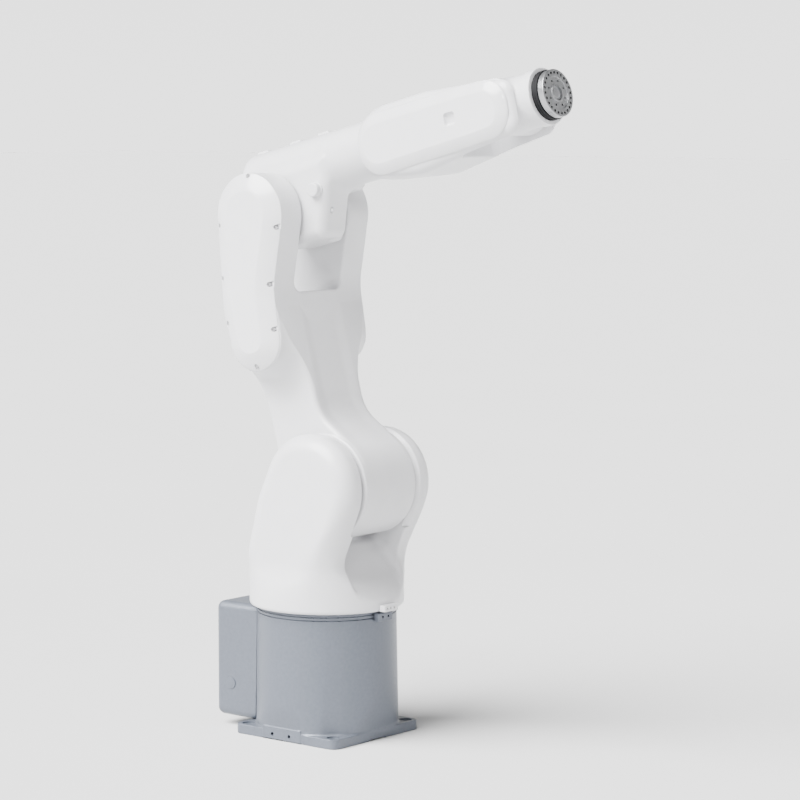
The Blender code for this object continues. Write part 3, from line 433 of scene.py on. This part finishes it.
# ---------------------------------------------------------------- lower arm
BEAM_HALF, HUB_HALF = 0.0535, 0.0550
FORK_IN, FORK_OUT, COVER_OUT = 0.0500, 0.0920, 0.1060
CROTCH = 0.279
BEAM = outline([(HUB_R, -HUB_R, HUB_R * 0.999), (HUB_R, 0.0285, 0.070), (0.013, 0.102, 0.06), (0.013, 0.300, 0.003),
                (-0.0800, 0.300, 0.003), (-0.0765, -HUB_R, HUB_R * 0.95)])
TINE = outline([(-0.0845, 0.180, 0.045), (0.004, 0.180, 0.043), (0.016, 0.286, 0.10), (0.095, 0.4545, 0.0605),
                (-0.050, 0.4545, 0.0605), (-0.0845, 0.281, 0.15)])
FORK_GAP = outline([(-0.14, CROTCH, 0.002), (0.10, CROTCH, 0.002), (0.14, 0.600, 0.002), (-0.14, 0.600, 0.002)])


def lower_arm_field(x, y, z):
    """Hub, beam and fork: the beam's sides sweep out under the tines in a wide hollow curve."""
    side = BEAM(x, z)
    tine = TINE(x, z)
    front = 0.0028 * eased((0.046 - np.abs(y)) / 0.022) * eased((x + 0.045) / 0.02) * eased((z - 0.02) / 0.11)
    beam = edged(side + front, np.abs(y) - BEAM_HALF, 0.007)
    hub = round_bar(x, z, y, HUB_R, -HUB_HALF, HUB_HALF, 0.003)
    fork = edged(tine, np.abs(y) - FORK_OUT, 0.0005)
    body = np.maximum(melted(beam, fork, 0.055), np.minimum(side + front, tine))
    body = np.minimum(body, hub)
    gap = edged(FORK_GAP(x, z), np.abs(y) - FORK_IN, 0.014)
    body = carved(body, gap, 0.004)
    tube = np.hypot(x, z - UPPER_ARM)
    bore = np.maximum(tube - 0.0330, np.abs(np.abs(y) - FORK_IN) - 0.012)
    body = np.maximum(body, -bore)
    pocket = np.maximum(tine + 0.008, FORK_IN + 0.009 - np.abs(y))
    return np.maximum(body, -pocket)


def edge_point(shape, z, sense, inset):
    """Where a level line meets an outline's front (+1) or rear (-1) edge, a little inside it."""
    near, far = -0.03, -0.03 + 0.2 * sense
    for _ in range(40):
        middle = (near + far) / 2
        if float(shape(np.array(middle), np.array(z))) < -inset:
            near = middle
        else:
            far = middle
    return near, z


NOTCH_R, NOTCH_DEEP, NOTCH_FLOOR = 0.0034, 0.0060, 0.0940
NOTCHES = [edge_point(TINE, z, 1, NOTCH_DEEP) for z in (0.366, 0.292, 0.2295)]
NOTCHES += [edge_point(TINE, z, -1, NOTCH_DEEP) for z in (0.394, 0.3205, 0.257)]
NOTCHES += [(0.0150, 0.4523 - NOTCH_DEEP + 0.0022), (-0.0420, 0.1822 + NOTCH_DEEP - 0.0022)]


def slot_field(x, z, spot, middle=0.32, end=0.43):
    """A rounded slot that starts at a screw's place and runs out through the outline's edge."""
    cx, cz = spot
    if middle - 0.12 < cz < end - 0.015:
        out = 1.0 if cx > -0.02 else -1.0
        u, v = (x - cx) * out, z - cz
    else:
        u, v = (z - cz) * (1.0 if cz > middle else -1.0), x - cx
    return np.where(u < 0, np.hypot(u, v), np.abs(v)) - NOTCH_R


def arm_cover_field(sense):
    """Moulded cover on a tine, its broad flat band slotted where the screws go in."""
    def field(x, y, z):
        high = y * sense
        body = banded(TINE(x, z), high - COVER_OUT, 0.0255, 0.0120, 1.15)
        body = np.maximum(body, FORK_OUT + 0.0002 - high)
        for spot in NOTCHES:
            body = np.maximum(body, -np.maximum(slot_field(x, z, spot), NOTCH_FLOOR - high))
        inner = np.maximum(TINE(x, z) + 0.0125, high - COVER_OUT + 0.0075)
        return np.maximum(body, -inner)
    return field


def cover_screw_field(sense):
    """The screw heads at the bottom of a cover's slots."""
    def field(x, y, z):
        heads = [round_bar(x - cx, z - cz, y * sense, 0.0027, 0.0905, 0.0972, 0.0004) for cx, cz in NOTCHES]
        return np.minimum.reduce(heads)
    return field


# ---------------------------------------------------------------- elbow
ELBOW_R, ELBOW_HALF, ELBOW_FRONT, ELBOW_REAR = 0.0420, 0.0470, 0.1755, -0.0550
ELBOW_BLOCK = outline([(-0.050, -0.0500, 0.049), (0.0830, -0.0505, 0.014), (0.1120, 0.0250, 0.02),
                       (0.1120, 0.0600, 0.004), (-0.050, 0.0600, 0.004)])
PADS = (-0.030, 0.034, 0.088)
PLUG = (0.0895, 0.0165)


def elbow_field(x, y, z):
    """Tube about the fourth axis over the block that turns between the tines."""
    rho = np.hypot(y, z - ELBOW_OFFSET)
    tube = np.maximum(edged(rho - ELBOW_R, ELBOW_REAR - x, 0.014), edged(rho - ELBOW_R, x - ELBOW_FRONT, 0.001))
    block = edged(ELBOW_BLOCK(x, z), np.abs(y) - ELBOW_HALF, 0.014)
    step = cuboid(x, y, z, (0.0950, 0.0380, -0.0330), (0.090, 0.060, 0.090), 0.012)
    block = carved(block, step, 0.010)
    body = melted(tube, block, 0.009)
    top = ELBOW_OFFSET + ELBOW_R + 0.0018
    for along in PADS:
        pad = cuboid(x, y, z, (along, 0, top - 0.006), (0.020, 0.016, 0.012), 0.0015)
        body = melted(body, pad, 0.002)
    body = np.maximum(body, -np.maximum(rho - 0.0352, 0.130 - x))
    body = np.maximum(body, -np.maximum(np.hypot(x, z) - 0.0250, 0.037 - np.abs(y)))
    px, pz = PLUG
    body = np.maximum(body, -np.maximum(np.hypot(x - px, z - pz) - 0.0114, 0.0410 + y))
    small = np.maximum(np.hypot(y + 0.0290, z + 0.0150) - 0.0042, 0.085 - x)
    body = carved(body, small, 0.0010)
    return np.minimum(body, round_bar(y + 0.0290, z + 0.0150, x, 0.0030, 0.080, 0.0985, 0.0008))


def elbow_plug_field(x, y, z):
    px, pz = PLUG
    base = round_bar(x - px, z - pz, -y, 0.0112, 0.0400, 0.0474, 0.0006)
    head = round_bar(x - px, z - pz, -y, 0.0098, 0.0400, 0.0560, 0.0018)
    return melted(base, head, 0.0008)


def elbow_cap_field(x, y, z):
    return round_bar(y, z - ELBOW_OFFSET, x, 0.0270, -0.0595, -0.0552, 0.0015)


# ---------------------------------------------------------------- forearm
FOREARM_R, FOREARM_HALF, TINE_IN, FCOVER_OUT, THROAT = 0.0525, 0.0500, 0.0400, 0.0590, 0.070
SHELL = outline([(0.0040, -0.0470, 0.003), (0.1000, -0.0600, 0.080), (0.2000, -0.0490, 0.080),
                 (0.2790, -0.0430, 0.022), (0.2790, 0.0305, 0.020), (0.2150, 0.0400, 0.060),
                 (0.1300, 0.0490, 0.10), (0.0040, 0.0490, 0.003)])
OVAL = outline([(0.0060, -0.0475, 0.040), (0.2000, -0.0440, 0.10), (0.2700, -0.0410, 0.036),
                (0.2700, 0.0345, 0.034), (0.2000, 0.0385, 0.10), (0.0060, 0.0385, 0.040)])


def forearm_field(x, y, z):
    """Round at the joint, squarer towards the fork that carries the wrist."""
    shape = edged(SHELL(x, z), np.abs(y) - FOREARM_HALF, 0.014)
    rho = np.hypot(y, z)
    shape = -melted(-shape, -(rho - 0.0440 - 0.55 * x) / 1.14, 0.014)
    girth = 0.0440 + (FOREARM_R - 0.0440) * eased((x + 0.010) / 0.065)
    neck = np.maximum(edged(rho - girth, -x, 0.0012), x - 0.080)
    body = melted(shape, neck, 0.006)
    start = WRIST_X - THROAT
    body = carved(body, cuboid(x, y, z, (start + 0.1, 0, 0), (0.2, 2 * TINE_IN, 0.3), 0.010), 0.0025)
    seat = np.maximum(OVAL(x, z) - 0.0004, FOREARM_HALF + 0.0001 - np.abs(y))
    body = np.maximum(body, -seat)
    body = np.maximum(body, -np.maximum(np.hypot(y, z) - 0.0275, x - 0.020))
    return np.maximum(body, -np.maximum(np.hypot(x - WRIST_X, z) - 0.0240, np.abs(np.abs(y) - 0.042) - 0.015))


def forearm_cover_field(sense):
    """Long oval side cover with a curved rim and a small square pocket."""
    def field(x, y, z):
        high = y * sense
        body = banded(OVAL(x, z), high - FCOVER_OUT, 0.0160, 0.0080, 1.25)
        body = np.maximum(body, FOREARM_HALF + 0.0003 - high)
        pocket = cuboid(x, high, z, (0.177, FCOVER_OUT + 0.0020, -0.0007), (0.0180, 0.0140, 0.0170), 0.0042)
        return carved(body, pocket, 0.0012)
    return field


# ---------------------------------------------------------------- wrist and flange
WRIST_R, WRIST_HALF, NOSE_R, NOSE_END = 0.0385, 0.0385, 0.0375, 0.0610
FLANGE_R, FLANGE_FACE = 0.0325, 0.0800


def wrist_field(x, y, z):
    """Hub between the tines, run into the round nose."""
    hub = round_bar(x, z, y, WRIST_R, -WRIST_HALF, WRIST_HALF, 0.003)
    nose = round_bar(y, z, x, NOSE_R, 0.0, NOSE_END - 0.010, 0.0010)
    body = melted(hub, nose, 0.006)
    body = melted(body, round_bar(y, z, x, 0.0390, 0.0465, NOSE_END, 0.0010), 0.0004)
    body = np.maximum(body, -np.maximum(np.hypot(x, z) - 0.0105, 0.030 - np.abs(y)))
    return np.maximum(body, -np.maximum(np.hypot(y, z) - 0.0300, 0.045 - x))


def seal_field(x, y, z):
    rho = np.hypot(y, z)
    body = edged(rho - 0.0340, slab(x, 0.0612, 0.0706), 0.0010)
    for along in (0.0640, 0.0670):
        body = np.maximum(body, -(np.hypot(rho - 0.0342, x - along) - 0.0008))
    return np.maximum(body, -(rho - 0.0200))


def flange_field(x, y, z):
    """Turned output flange: stepped face, pilot bore, tapped holes and a ring of small screw holes."""
    rho, turn = np.hypot(y, z), np.arctan2(z, y)
    body = edged(rho - FLANGE_R, slab(x, 0.0710, FLANGE_FACE), 0.0007)
    body = np.minimum(body, edged(rho - 0.0190, slab(x, 0.0520, 0.0740), 0.0005))
    body = np.maximum(body, -edged(rho - 0.0225, FLANGE_FACE - 0.0016 - x, 0.0003))
    body = np.minimum(body, edged(rho - 0.0125, slab(x, 0.0700, FLANGE_FACE - 0.0003), 0.0004))
    body = np.maximum(body, -np.maximum(rho - 0.0100, 0.0755 - x))
    body = np.minimum(body, round_bar(y, z, x, 0.0065, 0.0700, 0.0772, 0.0006))
    for count, radius, hole, phase in ((8, 0.0174, 0.0016, 0.5), (24, 0.0277, 0.0019, 0.0)):
        sector = 2 * math.pi / count
        local = np.mod(turn - phase * sector + sector / 2, sector) - sector / 2
        gap = np.hypot(rho * np.cos(local) - radius, rho * np.sin(local)) - hole
        body = np.maximum(body, -np.maximum(gap, FLANGE_FACE - 0.006 - x))
    return body


# ---------------------------------------------------------------- building the shells
SHELLS = (
    ("base_shell", BASE, base_field, (-0.105, -0.105, -0.004), (0.105, 0.105, 0.191), 0.0015,
     "base_casting", "grey_paint"),
    ("connector_box_shell", BASE, box_field, (-0.163, -0.070, 0.010), (-0.055, 0.068, 0.186), 0.0015,
     "connector_box", "grey_paint"),
    ("zero_block_shell", BASE, zero_block_field, (0.096, -0.018, 0.170), (0.112, 0.018, 0.188), 0.0005,
     "j1_zero_block", "grey_paint"),
    ("turret_shell", TURRET, turret_field, (-0.115, -0.115, 0.183), (0.137, 0.115, 0.444), 0.0018,
     "turret_casting", "white_paint"),
    ("zero_tab_shell", TURRET, zero_tab_field, (0.108, -0.018, 0.185), (0.123, 0.018, 0.200), 0.0005,
     "j1_zero_tab", "white_paint"),
    ("lower_arm_shell", SHOULDER, lower_arm_field, (-0.090, -0.096, -0.080), (0.082, 0.096, 0.459), 0.0018,
     "lower_arm_casting", "white_paint"),
    ("lower_arm_cover_near", SHOULDER, arm_cover_field(-1), (-0.092, -0.109, 0.175), (0.077, -0.090, 0.459), 0.0010,
     "lower_arm_cover_right", "white_cover"),
    ("lower_arm_cover_far", SHOULDER, arm_cover_field(1), (-0.092, 0.090, 0.175), (0.077, 0.109, 0.459), 0.0010,
     "lower_arm_cover_left", "white_cover"),
    ("cover_screws_near", SHOULDER, cover_screw_field(-1), (-0.085, -0.0985, 0.178), (0.066, -0.089, 0.457), 0.0006,
     "lower_arm_cover_right", "steel"),
    ("cover_screws_far", SHOULDER, cover_screw_field(1), (-0.085, 0.089, 0.178), (0.066, 0.0985, 0.457), 0.0006,
     "lower_arm_cover_left", "steel"),
    ("elbow_shell", ELBOW, elbow_field, (-0.060, -0.051, -0.058), (0.180, 0.051, 0.103), 0.0014,
     "elbow_casting", "white_paint"),
    ("elbow_plug_shell", ELBOW, elbow_plug_field, (0.074, -0.059, 0.002), (0.104, -0.037, 0.031), 0.0005,
     "elbow_plug", "white_paint"),
    ("elbow_cap_shell", ELBOW, elbow_cap_field, (-0.061, -0.030, 0.025), (-0.053, 0.030, 0.085), 0.0008,
     "elbow_rear_cap", "white_cover"),
    ("forearm_shell", FOREARM, forearm_field, (-0.004, -0.056, -0.064), (0.283, 0.056, 0.060), 0.0015,
     "forearm_casting", "white_paint"),
    ("forearm_cover_near", FOREARM, forearm_cover_field(-1), (0.000, -0.062, -0.051), (0.275, -0.048, 0.043), 0.0009,
     "forearm_cover_right", "white_cover"),
    ("forearm_cover_far", FOREARM, forearm_cover_field(1), (0.000, 0.048, -0.051), (0.275, 0.062, 0.043), 0.0009,
     "forearm_cover_left", "white_cover"),
    ("wrist_shell", WRIST, wrist_field, (-0.042, -0.042, -0.042), (0.064, 0.042, 0.042), 0.0012,
     "wrist_casting", "white_paint"),
    ("wrist_seal_ring", WRIST, seal_field, (0.059, -0.039, -0.039), (0.077, 0.039, 0.039), 0.0006,
     "wrist_seal", "rubber"),
    ("tool_flange_disc", FLANGE, flange_field, (0.050, -0.036, -0.036), (0.082, 0.036, 0.036), 0.0005,
     "tool_flange", "aluminium"),
)


def build_shells():
    for name, link, field, low, high, step, stands_for, slot in SHELLS:
        shell(name, link, field, low, high, step, stands_for, slot, OF_SLOT[slot])


def dress_frame():
    """Gives every CAD node that stays visible the procedural finish of its slot."""
    slots = {row["node"]: row["material_slot"] for row in frame["record"]["subparts"]}
    for name, obj in frame["nodes"].items():
        for entry in obj.material_slots:
            entry.material = OF_SLOT[slots[name]]


# ---------------------------------------------------------------- stage
def floor():
    mesh = bpy.data.meshes.new("floor")
    mesh.from_pydata([(-40, -40, 0), (40, -40, 0), (40, 40, 0), (-40, 40, 0)], [], [(0, 1, 2, 3)])
    obj = bpy.data.objects.new("floor", mesh)
    bpy.context.scene.collection.objects.link(obj)
    obj.data.materials.append(finish("pale_floor", (0.57, 0.57, 0.57), (0.59, 0.59, 0.59), 0.75, 0.85, 2.0, 0.0))


def area_light(name, place, target, size, power):
    data = bpy.data.lights.new(name, "AREA")
    data.shape, data.size, data.energy = "DISK", size, power
    lamp = bpy.data.objects.new(name, data)
    lamp.location = place
    lamp.rotation_euler = (Vector(target) - Vector(place)).to_track_quat("-Z", "Y").to_euler()
    bpy.context.scene.collection.objects.link(lamp)


HORIZON, OVERHEAD = 2.62, 0.40        # sky strength low down, matching the lit floor, and above
KEY_STRENGTH, KEY_SPREAD = 17.0, math.radians(50)
KEY_FROM = (-0.22, -0.60, 0.77)


def studio():
    """A sunlit pale floor that runs into a sky of the same brightness, dimmer overhead."""
    floor()
    world = bpy.data.worlds.new("studio")
    bpy.context.scene.world = world
    world.use_nodes = True
    sky = world.node_tree
    background = sky.nodes["Background"]
    background.inputs["Color"].default_value = (1.0, 1.0, 1.0, 1)
    way = node(sky, "ShaderNodeTexCoord")
    parts = node(sky, "ShaderNodeSeparateXYZ")
    fade = node(sky, "ShaderNodeMapRange", interpolation_type="SMOOTHSTEP")
    for name, value in (("From Min", 0.0), ("From Max", 0.30), ("To Min", HORIZON), ("To Max", OVERHEAD)):
        fade.inputs[name].default_value = value
    sky.links.new(way.outputs["Generated"], parts.inputs["Vector"])
    sky.links.new(parts.outputs["Z"], fade.inputs["Value"])
    sky.links.new(fade.outputs["Result"], background.inputs["Strength"])
    data = bpy.data.lights.new("key", "SUN")
    data.energy, data.angle = KEY_STRENGTH, KEY_SPREAD
    lamp = bpy.data.objects.new("key", data)
    lamp.rotation_euler = Vector(KEY_FROM).to_track_quat("Z", "Y").to_euler()
    bpy.context.scene.collection.objects.link(lamp)
    area_light("front_softbox", (1.9, -3.0, 2.5), (0, 0, 0.5), 0.32, 44)


CAMERA_PLACE, CAMERA_TARGET = (2.698, -3.122, 0.896), (0.0812, 0.0666, 0.4798)
LENS, SENSOR = 130.65, 36.0


def camera():
    data = bpy.data.cameras.new("camera")
    data.lens, data.sensor_width = LENS, SENSOR
    obj = bpy.data.objects.new("camera", data)
    obj.location = CAMERA_PLACE
    obj.rotation_euler = (Vector(CAMERA_TARGET) - Vector(CAMERA_PLACE)).to_track_quat("-Z", "Y").to_euler()
    bpy.context.scene.collection.objects.link(obj)
    bpy.context.scene.camera = obj


build_shells()
dress_frame()
studio()
camera()
